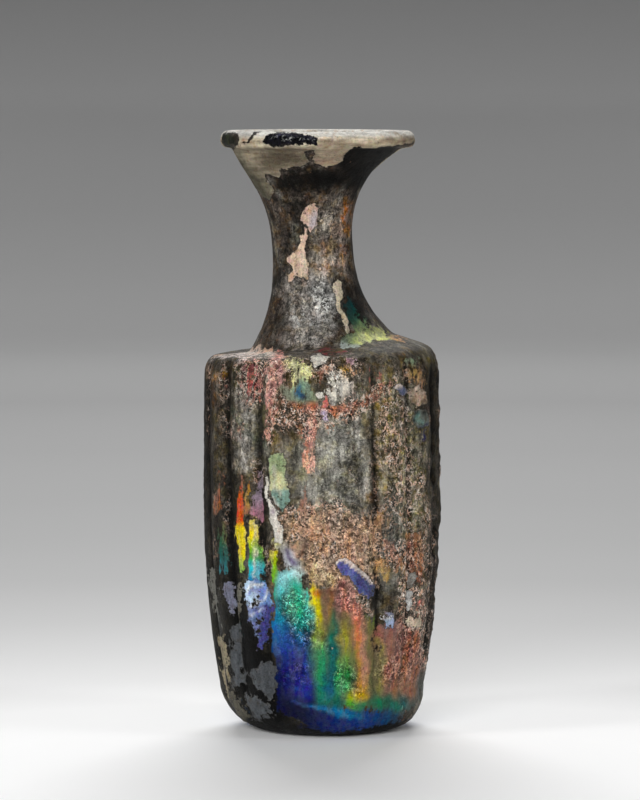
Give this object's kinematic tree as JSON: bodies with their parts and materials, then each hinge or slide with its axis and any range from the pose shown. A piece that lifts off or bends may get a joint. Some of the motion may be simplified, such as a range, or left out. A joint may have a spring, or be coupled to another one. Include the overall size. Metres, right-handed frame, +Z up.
{
  "type": "roman glass unguentarium",
  "caption": "Small upright ribbed glass bottle for scented oil, with a low askew shoulder, a leaning neck and a wide funnel mouth, under an iridescent weathering crust.",
  "frame": {"origin": "level of the underside, at the middle of the body", "axes": "+Z up through the mouth, -Y the front that the picture shows, +X to the right of it"},
  "size_m": [0.0512, 0.051, 0.1299],
  "materials": {
    "weathered_glass": "weathered, opaque dark crust with flaking iridescent layers and patches of cream enamel-like weathering"
  },
  "bodies": {
    "root": {"bottle": "weathered_glass"}
  },
  "joints": []
}
